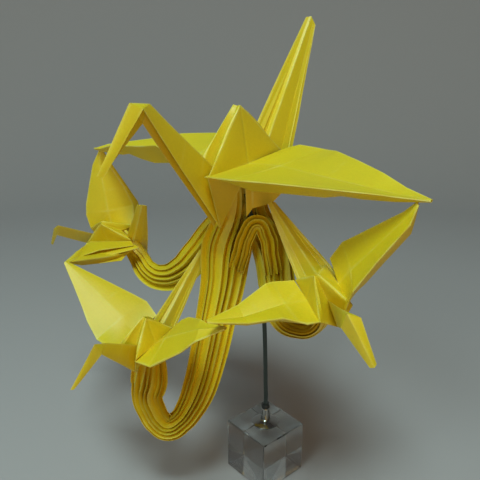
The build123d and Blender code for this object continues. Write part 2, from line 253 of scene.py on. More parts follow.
def paper_object(name, paper):
    """Joins the sheets to one mesh and gives the paper its thickness."""
    mesh = bpy.data.meshes.new(name)
    mesh.from_pydata([p * MM for p in paper.points], [], paper.cells)
    # The fold attribute drives the paler fold colour, partly wear and partly a painted highlight
    mesh.attributes.new("fold", "FLOAT", "POINT").data.foreach_set("value", paper.wear_and_highlight)
    bm = bmesh.new()
    bm.from_mesh(mesh)
    bmesh.ops.remove_doubles(bm, verts=bm.verts, dist=MERGE)
    bmesh.ops.dissolve_degenerate(bm, edges=bm.edges, dist=SLIVER)
    bm.to_mesh(mesh)
    bm.free()
    piece = bpy.data.objects.new(name, mesh)
    bpy.context.collection.objects.link(piece)
    wall = piece.modifiers.new("paper thickness", "SOLIDIFY")
    wall.thickness, wall.offset = PAPER * MM, 0
    return flattened(piece)


def flattened(piece, sharp=CRISP):
    """Applies the modifiers, shades the mesh smooth and keeps its sharp edges crisp."""
    final = bpy.data.meshes.new_from_object(piece.evaluated_get(bpy.context.evaluated_depsgraph_get()))
    piece.modifiers.clear()
    piece.data = final
    final.name = piece.name
    for face in final.polygons:
        face.use_smooth = True
    final.set_sharp_from_angle(angle=radians(sharp))
    print(piece.name, len(final.polygons), "faces")
    return piece


# %% [markdown]
# ## The body
#
# Under the wings a crane's body is a closed bag. Above the hinges stands the hump, whose two sides
# meet at the top. In front and behind, the paper between them is tucked inwards. Each half of this
# tuck curls: it is rounded along the hump's edge, where the fold is painted paler as wear and as a
# highlight, and sinks to a deep valley in the middle, which glows because light bounces about in
# it. Below the hinges hang the two halves of each side, and a panel inside closes the gap between
# them. Flat triangles would do for the sides, but the curled tuck needs rows of points over its rim.

# %% Body
HINGE = 0.117             # half the body's length; the first eight are shares of the square's side
KEEL_OUT, KEEL_DOWN, KEEL_HALF = 0.081, 0.113, 0.008
CROWN_HALF = 0.009
OVERLAP = 0.015           # how far the two halves of a side pass each other
BULGE_OUT, BULGE_UP = 0.006, 0.002
CROWN_DROP = 0.5          # how far below the hump's top the valley begins, in millimetres
REAR_DIP = 0.25           # how far up the hump the rear valley ends, as a share of its height
RIM_STEPS, RIM_AT = 6, 0.3
RIM_SWELL, RIM_ROUND = 1.2, 0.7


def hump_height(crane):
    return sqrt((HINGE * crane["square"]) ** 2 - crane["spread"] ** 2)


def curled_tuck(paper, crest, root, crown, tuck, bulge):
    """Half of a tuck: from the hump's edge over a rounded rim to the valley in the middle."""
    rows = []
    for k in range(RIM_STEPS + 1):
        t = k / RIM_STEPS
        rim, valley = crest.lerp(root, t), crown.lerp(tuck, t)
        rows.append([rim, rim.lerp(valley, RIM_AT) + bulge * (RIM_SWELL * sin(pi * t) ** RIM_ROUND), valley])
    paper.sheet(rows, folds=((0, 0.9), (2, 0.25)), bow=0.25)


def fold_body(paper, crane):
    s, w, r, top = crane["square"], crane["spread"], HINGE * crane["square"], hump_height(crane)
    for end, dip in ((1, 0.0), (-1, REAR_DIP)):
        tuck = Vector((crane["tuck"] * s * end, 0, dip * top))
        crown = Vector((0, 0, top - CROWN_DROP))
        for side in (1, -1):
            crest = Vector((0, side * (CROWN_HALF * s), top))
            root, middle = Vector((r * end, side * w, 0)), Vector((0, side * w, 0))
            past_middle = Vector((-OVERLAP * s * end, side * w, 0))
            foot = Vector((KEEL_OUT * s * end, side * KEEL_HALF * s, -KEEL_DOWN * s))
            curled_tuck(paper, crest, root, crown, tuck, Vector((BULGE_OUT * s * end, 0, BULGE_UP * s)))
            paper.facet(root, crest, middle, edges=(0.9, 0.2, 0.4), bow=0.4 * side * end)
            paper.facet(root, foot, past_middle, edges=(0.8, 0.4, 0), bow=0.5)
            paper.facet(tuck, root, foot)


print("hump heights:", [round(hump_height(crane), 1) for crane in CRANES.values()], "mm")

# %% [markdown]
# ## The wings
#
# A wing is broad a little way out from the body and then runs to a long point. Its two halves are
# creased along the middle, and both edges turn under into a second layer that hangs a little open.
# No two wings are bent alike, so each has its own outlines. They are measured along the hinge's
# normal, as (distance, half width, lift) in millimetres, and the sheets are laid between them.
# `corner` is the corner of the sheet the wing runs to, and `tip` where its own point ends up.

# %% Measured wings
CORNERS = {
    "large_upper_left": Vector((-94, 51, 172)),
    "upper_left_lower_left": Vector((-98.5, -6, 127.5)),
    "lower_left_right": Vector((-24.5, -62, 122)),
    "right_large": Vector((52, -68, 174.5)),
}

WINGS = {
    ("large", 1): dict(
        corner="right_large", tip=(54.8, -68, 174.8),
        front=((0, 27, 0.4), (4.3, 28, 1.2), (19.9, 30.8, 3.6), (38, 22.8, 3.4), (56.6, 14.7, 2.8),
               (76.1, 6.2, 1.5)),
        back=((0, 27, 2.0), (7.4, 28.6, 4.3), (21.9, 29.9, 3.6), (30.5, 26.2, 4.9), (32.9, 24.8, 5.1),
              (48.6, 17.8, 4.7), (64.7, 10.7, 3.9)),
        front_flap=((0, 16, -2), (8, 17, -4), (20, 18, -4.5), (38, 12, -4), (50, 8, -3.8), (57, 6.5, -2.2),
                    (66, 4.5, -2.4), (78, 2.5, -1.6)),
        back_flap=((0, 14, -1), (22, 16, -1.5), (48, 9, -1), (70, 4, -0.8)),
    ),
    ("large", -1): dict(
        corner="large_upper_left", tip=(-95, 51, 173),
        front=((0, 27, 3), (21.6, 27.4, 12.9), (50, 16, 8.5), (73.9, 6.7, 4.8)),
        back=((0, 27, 2), (14, 29, 6), (27.5, 27, 6.8), (45, 19, 7.4), (60.9, 12.7, 5.2), (84.2, 2.8, 3.2)),
        front_flap=((0, 18, 0), (18, 17, 2.5), (36, 14, 0.5), (48, 11, 1), (60, 6.5, 1.5), (66, 5, 0.2),
                    (76, 3.5, 0)),
        back_flap=((0, 16, -1), (27, 16, 1), (50, 9, 0.6)),
    ),
    ("upper_left", 1): dict(
        corner="upper_left_lower_left", tip=(-99.1, -6, 126.9),
        front=((0, 13.5, 0), (4.3, 14.3, -2.3), (15, 13, -2)),
        back=((0, 13.5, -1), (10.8, 14.5, -4.7), (20, 11, -4.5), (39, 4.5, -2)),
        front_flap=((0, 8, -2), (8, 8.5, -4), (30, 4, -2.5)),
        back_flap=((0, 12, -5), (12.6, 11.6, -8.8), (39, 2.4, -4.8)),
    ),
    ("upper_left", -1): dict(
        corner="large_upper_left", tip=(-91.4, 50, 172.7),
        front=((0, 13.5, 0), (8, 14.8, 0), (14.8, 13.5, -0.2), (18.5, 12, -0.4)),
        back=((0, 13.6, -1), (10.8, 13.2, -5.5), (22, 10, -4.5), (36, 4.4, -2)),
        front_flap=((0, 8, -1.5), (12, 8.5, -2), (30, 4, -1.5)),
        back_flap=((0, 17, -8), (12, 15, -8.5), (24, 10.5, -6), (37, 5.5, -3)),
    ),
    ("lower_left", 1): dict(
        corner="lower_left_right", tip=(-19.8, -60.5, 120.3),
        front=((0, 13.5, -0.5), (10.9, 14.4, -4.6), (27.4, 8.5, -4.4)),
        back=((0, 13.5, 1), (6.3, 14.6, 2.4), (13.4, 13.9, 2.9), (32, 6.6, 2.2), (36.8, 5, 0.4)),
        front_flap=((0, 8, -3), (10, 9, -6.5), (27, 4.5, -5)),
        back_flap=((0, 8, -1), (13, 8, -1.5), (32, 3.5, -0.8)),
    ),
    ("lower_left", -1): dict(
        corner="upper_left_lower_left", tip=(-98.8, -7, 127.5),
        front=((0, 13.3, 0), (5.1, 14.4, -2.5), (9.9, 13.6, -5.6), (19.4, 11.5, -4.6)),
        back=((0, 12.4, 4.5), (9, 14.4, 4), (18.5, 12.2, 2.2)),
        front_flap=((0, 8, -2), (10, 8, -6), (28, 4, -3.5)),
        back_flap=((0, 7, 0), (12, 8, -0.5), (28, 4.5, -0.8)),
    ),
    ("right", 1): dict(
        corner="right_large", tip=(50.5, -66, 173.2),
        front=((0, 13.5, 1), (11.9, 13, 6.5), (21.8, 10.2, 5.2), (26, 8.9, 4.7), (43.3, 4.2, 0.8)),
        back=((0, 13.5, 0), (9.4, 15.4, -0.5), (32, 7.3, 0)),
        front_flap=((0, 8, -1), (14, 9.5, 0.5), (26, 7, -0.8), (40, 4.2, -3)),
        back_flap=((0, 8, -2), (10, 9, -3), (32, 4, -2)),
    ),
    ("right", -1): dict(
        corner="lower_left_right", tip=(-27, -64, 125),
        front=((0, 13.5, 0), (6.5, 14.7, 2.2), (15.5, 11.2, 5.5), (28, 6, 2.6)),
        back=((0, 13.5, 0), (9, 15.4, 0.3), (12.8, 14.1, 1.5), (28, 7, 0.6)),
        front_flap=((0, 9, -2), (7, 9.5, -2), (16, 7, 0.5), (28, 3.8, -0.6)),
        back_flap=((0, 8, -2), (10, 8.5, -2), (28, 3.8, -1.6)),
    ),
}
print(len(WINGS), "wings run to", len(CORNERS), "corners")

# %% Fold a wing
EDGES = ("front", "back", "front_flap", "back_flap")
TIP_HALF, FLAP_TIP_HALF = 0.8, 0.2
TIP_HALVES = (TIP_HALF, TIP_HALF, FLAP_TIP_HALF, FLAP_TIP_HALF)
TIP_RISE, TIP_UNDER = 0.3, -0.7
LAYER = 0.15              # how far a turned edge hangs below the wing
WIDEST = 0.085            # how far out the middle crease's kink lies, as a share of the square
KINK_LIFT = 0.010
EDGE_CREASES = ((0, 1, 1.05, 0.5), (1, -1, 0.95, 0.3))    # (edge, side, how far out, strength)
ROOT_CREASE, ROOT_STRENGTH = 0.6, 0.25                    # from the kink back to the hinge
FAR_CREASE, FAR_RISE, FAR_SLANT, FAR_STRENGTH = 2.3, 1, 0.93, 0.25    # further out, at the back


def wing_axes(crane, side, corner):
    """Where a wing leaves the body, and its directions along, forward and up."""
    hinge = Vector((0, side * crane["spread"], 0))
    along = (crane_place(crane).inverted() @ CORNERS[corner] - hinge).normalized()
    up = Vector((1, 0, 0)).cross(along).normalized() * side
    return hinge, along, along.cross(up) * side, up


def at_distance(outline, distance):
    """The (width, lift) of a measured outline at a distance from the hinge."""
    distances, widths, lifts = zip(*outline)
    return np.interp(distance, distances, widths), np.interp(distance, distances, lifts)


def fold_wing(paper, crane, side, wing):
    hinge, along, forward, up = wing_axes(crane, side, wing["corner"])
    tip = crane_place(crane).inverted() @ Vector(wing["tip"])
    length = (tip - hinge).dot(along)
    kink, kink_lift = WIDEST * crane["square"], KINK_LIFT * crane["square"]
    outlines = [[*wing[edge], (length, half, -LAYER)] for edge, half in zip(EDGES, TIP_HALVES)]

    def point(distance, out, lift):
        return hinge + along * float(distance) + forward * float(out) + up * float(lift)

    def edge_point(edge, edge_side, distance, slant):
        half, lift = at_distance(outlines[edge], distance)
        return point(distance * slant, edge_side * half, lift)

    def tip_row(*offsets):
        return [tip + forward * out + up * lift for out, lift in offsets]

    top, front_under, back_under = [], [], []
    for a in sorted({kink} | {distance for edge in EDGES for distance, _, _ in wing[edge]}):
        (front, front_lift), (back, back_lift), (flap, flap_lift), (rear_flap, rear_lift) = (
            at_distance(outline, a) for outline in outlines
        )
        raised = kink_lift * min(a / kink, (length - a) / (length - kink))
        top.append([point(a, front, front_lift), point(a, 0, raised), point(a, -back, back_lift)])
        front_under.append([point(a, front, front_lift - LAYER), point(a, flap, flap_lift)])
        back_under.append([point(a, -back, back_lift - LAYER), point(a, -rear_flap, rear_lift)])
    top.append(tip_row((TIP_HALF, 0), (0, TIP_RISE), (-TIP_HALF, 0)))
    front_under.append(tip_row((TIP_HALF, -LAYER), (FLAP_TIP_HALF, TIP_UNDER)))
    back_under.append(tip_row((-TIP_HALF, -LAYER), (-FLAP_TIP_HALF, TIP_UNDER)))

    centre, far = point(kink, 0, kink_lift), FAR_CREASE * kink
    marks = [(point(far, 0, FAR_RISE), edge_point(1, -1, far, FAR_SLANT), FAR_STRENGTH)]
    for edge, edge_side, slant, strength in EDGE_CREASES:
        marks.append((centre, edge_point(edge, edge_side, kink, slant), strength))
        marks.append((centre, point(0, edge_side * ROOT_CREASE * HINGE * crane["square"], 0), ROOT_STRENGTH))
    paper.sheet(top, folds=((0, 0.8), (1, 0.3), (2, 0.6)), marks=marks, bow=0.35)
    paper.sheet(front_under, folds=((0, 0.8), (1, 0.4)), bow=0.3)
    paper.sheet(back_under, folds=((0, 0.6), (1, 0.4)), bow=0.3)


for (name, side), wing in WINGS.items():
    hinge, along = wing_axes(CRANES[name], side, wing["corner"])[:2]
    tip = crane_place(CRANES[name]).inverted() @ Vector(wing["tip"])
    print(name, "wing", side, "is", round((tip - hinge).dot(along), 1), "mm long")

# %% [markdown]
# ## Neck, head and tail
#
# The neck is a long strip folded along the middle and swung up. At the nape it turns and runs down
# again as the head, and the two open edges' corners meet the turn at the jaws. The tail is a longer
# strip of more layers: the two sides of its fold curve a little, and a second layer shows just
# behind each open edge. Both run between a few measured points, so rows of points carry them.

# %% Neck and head
CHIN_BACK, CHIN_DOWN = 0.010, 0.004
BEAK_WIDTH = 0.35         # as a share of the neck's
NECK_CREASES = ((0.22, 0.10), (0.50, 0.06))     # (share of the neck, how much higher at the edges)
NECK_CREASE_STRENGTH = 0.3


def fold_neck_and_head(paper, crane):
    s, half, jaws = crane["square"], crane["gape"], crane["jaws"]
    foot = (KEEL_OUT * s, -KEEL_DOWN * s)
    chin = (crane["beak"][0] - CHIN_BACK * s, crane["beak"][1] - CHIN_DOWN * s)
    stations = (
        ((crane["tuck"] * s, 0), foot, foot, KEEL_HALF * s),
        (crane["nape"], *jaws, half),
        (crane["brow"], *jaws, half),
        (crane["beak"], chin, chin, BEAK_WIDTH * half),
    )
    belly, nape, brow, beak = (
        [Vector((a[0], wide, a[1])), Vector((ridge[0], 0, ridge[1])), Vector((b[0], -wide, b[1]))]
        for ridge, a, b, wide in stations
    )
    creases = [
        (belly[1].lerp(nape[1], t), belly[side].lerp(nape[side], t + higher), NECK_CREASE_STRENGTH)
        for t, higher in NECK_CREASES for side in (0, 2)
    ]
    for near, far, marks in ((belly, nape, creases), (nape, brow, ()), (brow, beak, ())):
        paper.sheet([near, far], folds=((0, 0.6), (1, 0.5), (2, 0.6)), marks=marks, cell=1.1, bow=0.15)
    turn = [(nape[k], nape[k + 1], 0.6) for k in (0, 1)]
    paper.sheet([nape, brow], marks=turn, cell=0.8)


print("necks rise to", [crane["nape"][1] for crane in CRANES.values()], "mm above the hinges")

# %% Tail
TAIL_SHARES = (-0.3, 0.0, 0.25, 0.5, 0.75, 0.93, 1.0)     # the first runs on below the measured root
TAIL_HOLLOW, TAIL_LAYER = 0.012, 0.006
TROUGH_AT, LIP_AT, LIP_HOLLOW = 0.52, 0.88, 0.35
LAYER_FROM, LAYER_BACK, LAYER_TURN = 0.6, 0.8, 0.5
HOLLOW_END, LAYER_END = 1.05, 1.2


def fold_tail(paper, crane):
    hollow_most, layer = TAIL_HOLLOW * crane["square"], TAIL_LAYER * crane["square"]
    ridge, left, right = ([Vector(p) for p in crane[key]] for key in ("ridge", "left", "right"))
    outwards = Vector((1, 0, 1)).normalized()
    for edge in (left, right):
        front, behind = [], []
        for t in TAIL_SHARES:
            fold, rim = ridge[0].lerp(ridge[1], t), edge[0].lerp(edge[1], t)
            hollow = hollow_most * min(1, max(0.0, HOLLOW_END - t))
            trough = fold.lerp(rim, TROUGH_AT) - outwards * hollow
            lip = fold.lerp(rim, LIP_AT) - outwards * (LIP_HOLLOW * hollow)
            front.append([fold, trough, lip, rim])
            away = (rim - fold).normalized() * layer - outwards * (LAYER_TURN * layer)
            inner = fold.lerp(rim, LAYER_FROM) - outwards * (LAYER_BACK * layer)
            behind.append([inner, rim + away * min(1.0, LAYER_END - t)])
        paper.sheet(front, folds=((0, 1.0), (1, 0.2), (3, 0.6)), cell=1.0)
        paper.sheet(behind, folds=((1, 0.7),), cell=1.2)


for name, crane in CRANES.items():
    root, end = crane["ridge"]
    print(name, "tail is", round((Vector(end) - Vector(root)).length), "mm long")

# %% [markdown]
# ## Folding the four cranes
#
# Each crane becomes one mesh: its body, two wings, neck, head and tail. All of them together stand
# for the one folded sheet of the construction model. The upper left crane's lower wing is seen from
# its edge, where its layers stand open like pages, and below the large crane's near wing one more
# panel of its body shows. Neither follows a rule, so both are measured in the shared frame: each
# page has an upper and a lower edge, and the panel two rows of points.

# %% Fold the cranes
PAGES = (
    (((-99, -4, 127), (-96.5, 14, 127.5), (-96.5, 30, 125), (-76, 40, 122)),
     ((-97.5, -6, 127), (-95.5, 5, 125.5), (-88.5, 18, 124.5), (-73.5, 34, 121.5))),
    (((-98.5, -3, 126), (-96, 8, 125), (-89.5, 22, 123.5), (-73.5, 37, 121)),
     ((-97, -6, 127), (-94, 6, 122.5), (-85, 20, 120.5), (-70.5, 33, 120.5))),
    (((-98, -3, 126), (-95, 10, 121.5), (-86, 24, 119.5), (-72, 36, 119.5)),
     ((-96.5, -5, 126), (-94.5, 4, 121.5), (-78.5, 24, 116.5), (-76.5, 32, 118))),
)

REAR_PANEL = (
    ((-11.9, -5, 171.8), (-8.5, -5.3, 171), (9.9, -4.5, 166.4)),
    ((-10.9, -9, 151.3), (-8, -7.6, 155), (1.1, -6, 157.1)),
)

crane_pieces = []
for name, crane in CRANES.items():
    paper = Paper(crane_place(crane))
    fold_body(paper, crane)
    for side in (1, -1):
        fold_wing(paper, crane, side, WINGS[name, side])
    fold_neck_and_head(paper, crane)
    fold_tail(paper, crane)
    crane_pieces.append(paper_object("crane_" + name, paper))

pages = Paper(Matrix())
for upper, lower in PAGES:
    pages.sheet(list(zip(upper, lower)), folds=((0, 0.5), (1, 0.8)), bow=0.3)
crane_pieces.append(paper_object("wing_pages", pages))
rear_panel = Paper(Matrix())
rear_panel.sheet(REAR_PANEL, folds=((0, 1), (1, 1), (2, 0.6)))
crane_pieces.append(paper_object("rear_panel", rear_panel))

# %% [markdown]
# ## Nodes in short lines
#
# The pleats, the paper and the stand's finishes are all built from nodes. Each could be added and
# linked line by line, but a sum of three terms would then fill half a page. A small class shortens
# this, and one function makes a node group with named inputs and outputs, for geometry and for
# materials alike.

# %% Shorthand for nodes
class Nodes:
    """Adds nodes to one tree and links them."""

    def __init__(self, tree):
        self.tree, self.link = tree, tree.links.new

    def add(self, kind, **settings):
        node = self.tree.nodes.new(kind)
        for key, value in settings.items():
            setattr(node, key, value)
        return node

    def fill(self, sockets, values):
        """Gives each socket its value, or a link where the value comes from another node."""
        for socket, value in zip(sockets, values):
            if isinstance(value, bpy.types.NodeSocket):
                self.link(value, socket)
            else:
                socket.default_value = value

    def plug(self, node, **values):
        """Fills a node's inputs by their names, with _ for a space."""
        self.fill([node.inputs[key.replace("_", " ")] for key in values], values.values())

    def maths(self, operation, *values):
        node = self.add("ShaderNodeMath", operation=operation)
        self.fill(node.inputs, values)
        return node.outputs[0]

    def vectors(self, operation, *values):
        node = self.add("ShaderNodeVectorMath", operation=operation)
        self.fill(node.inputs, values)
        return node.outputs[0]

    def scaled(self, vector, amount):
        node = self.add("ShaderNodeVectorMath", operation="SCALE")
        self.fill((node.inputs[0], node.inputs["Scale"]), (vector, amount))
        return node.outputs[0]

    def remap(self, value, *ends, **settings):
        """Carries a value from one range to another; ends are from low, from high, to low, to high."""
        node = self.add("ShaderNodeMapRange", **settings)
        self.fill(node.inputs, (value, *ends))
        return node.outputs[0]

    def soft_noise(self, where, scale, detail):
        node = self.add("ShaderNodeTexNoise")
        self.plug(node, Vector=where, Scale=scale, Detail=detail)
        return node.outputs["Fac"]

    def object_coordinates(self):
        return self.add("ShaderNodeTexCoord").outputs["Object"]


def new_tree(name, kind, inputs, outputs):
    """A node group; inputs are (label, socket type, value) and outputs (label, socket type)."""
    tree = bpy.data.node_groups.new(name, kind)
    for label, socket_type, value in inputs:
        socket = tree.interface.new_socket(label, in_out="INPUT", socket_type=socket_type)
        if value is not None:
            socket.default_value = value
    for label, socket_type in outputs:
        tree.interface.new_socket(label, in_out="OUTPUT", socket_type=socket_type)
    nodes = Nodes(tree)
    return nodes, nodes.add("NodeGroupInput").outputs, nodes.add("NodeGroupOutput").inputs


# %% [markdown]
# ## The pleated arms
#
# Where the sheet was not cut, it is gathered lengthways into tight pleats, like a closed fan, and
# these run from the large crane's belly to each small one. They could be laid by hand as sheets, but
# a pleated strip follows a rule, so Geometry Nodes make it: a flat grid is bent along a path, and
# each fold is pushed out or in and shifted sideways by its own amounts, drawn from a fixed seed.
# Every other fold also leans over, so that the pleats lie on one another. The grid has a column on
# every fold, so the folds stay sharp. A slow drift along the strip keeps it from looking ruled, and
# its edges curl back, as the arms are bundles rather than flat bands.

# %% How each fold of a strip lies
NUDGE = 0.001             # keeps a column that lies on a fold from counting to the fold before it
DRAW_STEP = 3.7           # how far apart in the noise two neighbouring folds are drawn
HEIGHT_DRAW, HEIGHT_RANGE, HEIGHT_LEAST = 0.3, 0.65, 0.25
SHIFT_DRAW = 5.1


def fold_pattern(nodes, given, across_share, folds):
    """Each fold's height and sideways shift, blended over the paper between two folds."""
    maths = nodes.maths
    turns = maths("MULTIPLY", across_share, folds)
    index = maths("FLOOR", maths("ADD", turns, NUDGE))
    following = maths("ADD", index, 1.0)
    part = maths("SUBTRACT", turns, index)

    def drawn(fold, offset):
        chance = nodes.add("ShaderNodeTexWhiteNoise", noise_dimensions="1D")
        spot = maths("ADD", maths("MULTIPLY", fold, DRAW_STEP), maths("ADD", given["Seed"], offset))
        nodes.plug(chance, W=spot)
        return chance.outputs["Value"]

    def height(fold):
        side = maths("SUBTRACT", 1.0, maths("MULTIPLY", maths("MODULO", fold, 2.0), 2.0))
        varied = maths("MULTIPLY", drawn(fold, HEIGHT_DRAW), HEIGHT_RANGE)
        return maths("MULTIPLY", side, maths("ADD", varied, HEIGHT_LEAST))

    def blend(one, other):
        rest = maths("SUBTRACT", 1.0, part)
        return maths("ADD", maths("MULTIPLY", one, rest), maths("MULTIPLY", other, part))

    zigzag = blend(height(index), height(following))
    loose = maths("SUBTRACT", blend(drawn(index, SHIFT_DRAW), drawn(following, SHIFT_DRAW)), 0.5)
    leaning = blend(maths("MODULO", index, 2.0), maths("MODULO", following, 2.0))
    loose, leaning = maths("MULTIPLY", loose, given["Spacing"]), maths("MULTIPLY", leaning, given["Lean"])
    spaced = maths("ADD", across_share, maths("DIVIDE", maths("ADD", loose, leaning), folds))
    return turns, part, zigzag, spaced


# %% How a strip drifts
DRIFT_ACROSS, DRIFT_ALONG = 0.30, 4.0     # how fast the drift changes from fold to fold and along
OUTWARD_DRIFT = 1.5                       # outward drift as a share of the sideways one


def drift(nodes, given, turns, along_share):
    """A slow drift along the strip: how far sideways and how far outward."""
    maths = nodes.maths
    spot = nodes.add("ShaderNodeCombineXYZ")
    across, along = maths("MULTIPLY", turns, DRIFT_ACROSS), maths("MULTIPLY", along_share, DRIFT_ALONG)
    nodes.fill(spot.inputs, (across, along, given["Seed"]))
    wander = nodes.add("ShaderNodeTexNoise", noise_dimensions="3D")
    nodes.plug(wander, Vector=spot.outputs[0], Scale=1.0, Detail=1.0)
    drifts = nodes.add("ShaderNodeSeparateXYZ")
    nodes.link(wander.outputs["Color"], drifts.inputs[0])
    sideways, outward = (maths("SUBTRACT", drifts.outputs[k], 0.5) for k in (0, 1))
    outward_most = maths("MULTIPLY", given["Drift"], OUTWARD_DRIFT)
    return maths("MULTIPLY", sideways, given["Drift"]), maths("MULTIPLY", outward, outward_most)


# %% How a strip follows its path
FACE_TO = Vector((-0.05, -0.9, 0.3)).normalized()
TURNED_BY = 0.2           # share of the strip over which each end turns to face along its crane


def along_path(nodes, given, along_share):
    """Where the path runs, and there the strip's width, its way across and its way outward."""
    vectors = nodes.vectors

    def turned(share, facing):
        near_end = nodes.remap(share, 0.0, TURNED_BY, 1.0, 0.0, interpolation_type="SMOOTHSTEP")
        return nodes.scaled(vectors("SUBTRACT", facing, FACE_TO), near_end)

    # The broad face looks forward, but turns in line with the cranes' bodies at both ends
    both_ends = vectors("ADD", turned(along_share, given["Start facing"]),
                        turned(nodes.maths("SUBTRACT", 1.0, along_share), given["End facing"]))
    facing = vectors("ADD", both_ends, FACE_TO)
    path = nodes.add("GeometryNodeObjectInfo", transform_space="ORIGINAL")
    nodes.plug(path, Object=given["Path"])
    on_path = nodes.add("GeometryNodeSampleCurve", mode="FACTOR", use_all_curves=False)
    radius = nodes.add("GeometryNodeInputRadius").outputs[0]
    nodes.plug(on_path, Curves=path.outputs["Geometry"], Value=radius, Factor=along_share)
    tangent = on_path.outputs["Tangent"]
    across = vectors("NORMALIZE", vectors("CROSS_PRODUCT", tangent, facing))
    outward = vectors("NORMALIZE", vectors("CROSS_PRODUCT", across, tangent))
    return on_path.outputs["Position"], on_path.outputs["Value"], across, outward


# %% Tree for a pleated strip
CELLS_A_FOLD = 3
WEAR_AND_HIGHLIGHT_NARROW, WEAR_AND_HIGHLIGHT_REACH = 6.0, 1.3        # how narrow the pale fold line of wear and painted highlight is, and how soon it is full
PLEAT_INPUTS = (
    ("Geometry", "NodeSocketGeometry", None), ("Path", "NodeSocketObject", None),
    ("Pleats", "NodeSocketInt", 6), ("Steps", "NodeSocketInt", 90),
    ("Depth", "NodeSocketFloat", 0.0026), ("Spacing", "NodeSocketFloat", 1.25),
    ("Lean", "NodeSocketFloat", 0.5), ("Drift", "NodeSocketFloat", 0.0012),
    ("Curl", "NodeSocketFloat", 0.15), ("Start facing", "NodeSocketVector", FACE_TO),
    ("End facing", "NodeSocketVector", FACE_TO), ("Seed", "NodeSocketFloat", 1.0),
    ("Material", "NodeSocketMaterial", None),
)


def pleat_tree():
    geometry = ("Geometry", "NodeSocketGeometry")
    nodes, given, out = new_tree("pleated_strip", "GeometryNodeTree", PLEAT_INPUTS, [geometry])
    add, maths = nodes.add, nodes.maths

    # A flat grid of one by one, with a column on every fold
    folds = maths("MULTIPLY", given["Pleats"], 2)
    columns = maths("ADD", maths("MULTIPLY", folds, CELLS_A_FOLD), 1)
    grid = add("GeometryNodeMeshGrid")
    nodes.fill(grid.inputs, (1, 1, columns, given["Steps"]))
    place = add("ShaderNodeSeparateXYZ")
    nodes.plug(place, Vector=add("GeometryNodeInputPosition").outputs[0])
    across_share = maths("ADD", place.outputs["X"], 0.5)
    along_share = maths("ADD", place.outputs["Y"], 0.5)

    # Every corner of the grid goes to its place beside the path
    centre, width, across, outward = along_path(nodes, given, along_share)
    turns, part, zigzag, spaced = fold_pattern(nodes, given, across_share, folds)
    sideways_drift, outward_drift = drift(nodes, given, turns, along_share)
    from_middle = maths("SUBTRACT", maths("MULTIPLY", across_share, 2.0), 1.0)
    curl = maths("MULTIPLY", maths("MULTIPLY", maths("POWER", from_middle, 2.0), width), given["Curl"])
    sideways = maths("ADD", maths("MULTIPLY", width, maths("SUBTRACT", spaced, 0.5)), sideways_drift)
    push = maths("SUBTRACT", maths("ADD", maths("MULTIPLY", zigzag, given["Depth"]), outward_drift), curl)
    offset = nodes.vectors("ADD", nodes.scaled(across, sideways), nodes.scaled(outward, push))
    target = nodes.vectors("ADD", centre, offset)

    # The paler fold colour, part wear and part painted highlight, is kept on the folds that stick out
    from_fold = maths("ABSOLUTE", maths("SUBTRACT", maths("MULTIPLY", part, 2.0), 1.0))
    sticking_out = maths("MAXIMUM", maths("MULTIPLY", zigzag, WEAR_AND_HIGHLIGHT_REACH), 0.0)
    worn_and_highlit = maths("MULTIPLY", maths("POWER", from_fold, WEAR_AND_HIGHLIGHT_NARROW), sticking_out)
    crest = add("GeometryNodeStoreNamedAttribute", data_type="FLOAT", domain="POINT")
    nodes.plug(crest, Geometry=grid.outputs["Mesh"], Name="fold", Value=worn_and_highlit)
    shaped = add("GeometryNodeSetPosition")
    nodes.plug(shaped, Geometry=crest.outputs[0], Position=target)
    real = add("GeometryNodeRealizeInstances")
    nodes.plug(real, Geometry=shaped.outputs[0])
    painted = add("GeometryNodeSetMaterial")
    nodes.plug(painted, Geometry=real.outputs[0], Material=given["Material"])
    nodes.link(painted.outputs[0], out[0])
    return nodes.tree


PLEATED_STRIP = pleat_tree()
print("pleated_strip tree:", len(PLEATED_STRIP.nodes), "nodes")

# %% [markdown]
# ## Paper colours
#
# The paper is a strong lemon yellow with short fibres in it, and along every fold it is painted a
# little paler, partly as rubbed wear and partly as a highlight on the crease. A painted image could
# show that, but noise in object coordinates needs no unwrapping and stays sharp close up. Both
# effects are node groups, because the smooth panels and the pleated arms use them with different
# strengths. A little light scatters just under the surface and comes out warmer, so the deep places stay
# golden.

# %% Shader groups
CLOUD_SCALE, WEAR_AND_HIGHLIGHT_PATCHES = 70, 120


def fibre_group():
    """Mottled paper: a colour, and a height for the fibres' bump."""
    nodes, given, out = new_tree(
        "paper_fibres", "ShaderNodeTree",
        [("Colour", "NodeSocketColor", (1, 1, 1, 1)), ("Mottle", "NodeSocketFloat", 0.1),
         ("Fibre size", "NodeSocketFloat", 900.0)],
        [("Colour", "NodeSocketColor"), ("Height", "NodeSocketFloat")],
    )
    where = nodes.object_coordinates()
    fine, cloud = nodes.soft_noise(where, given["Fibre size"], 3), nodes.soft_noise(where, CLOUD_SCALE, 4)
    centred = nodes.maths("SUBTRACT", nodes.maths("ADD", fine, cloud), 1.0)
    amount = nodes.maths("MULTIPLY_ADD", centred, given["Mottle"], 1.0)
    nodes.link(nodes.scaled(given["Colour"], amount), out["Colour"])
    nodes.link(fine, out["Height"])
    return nodes.tree


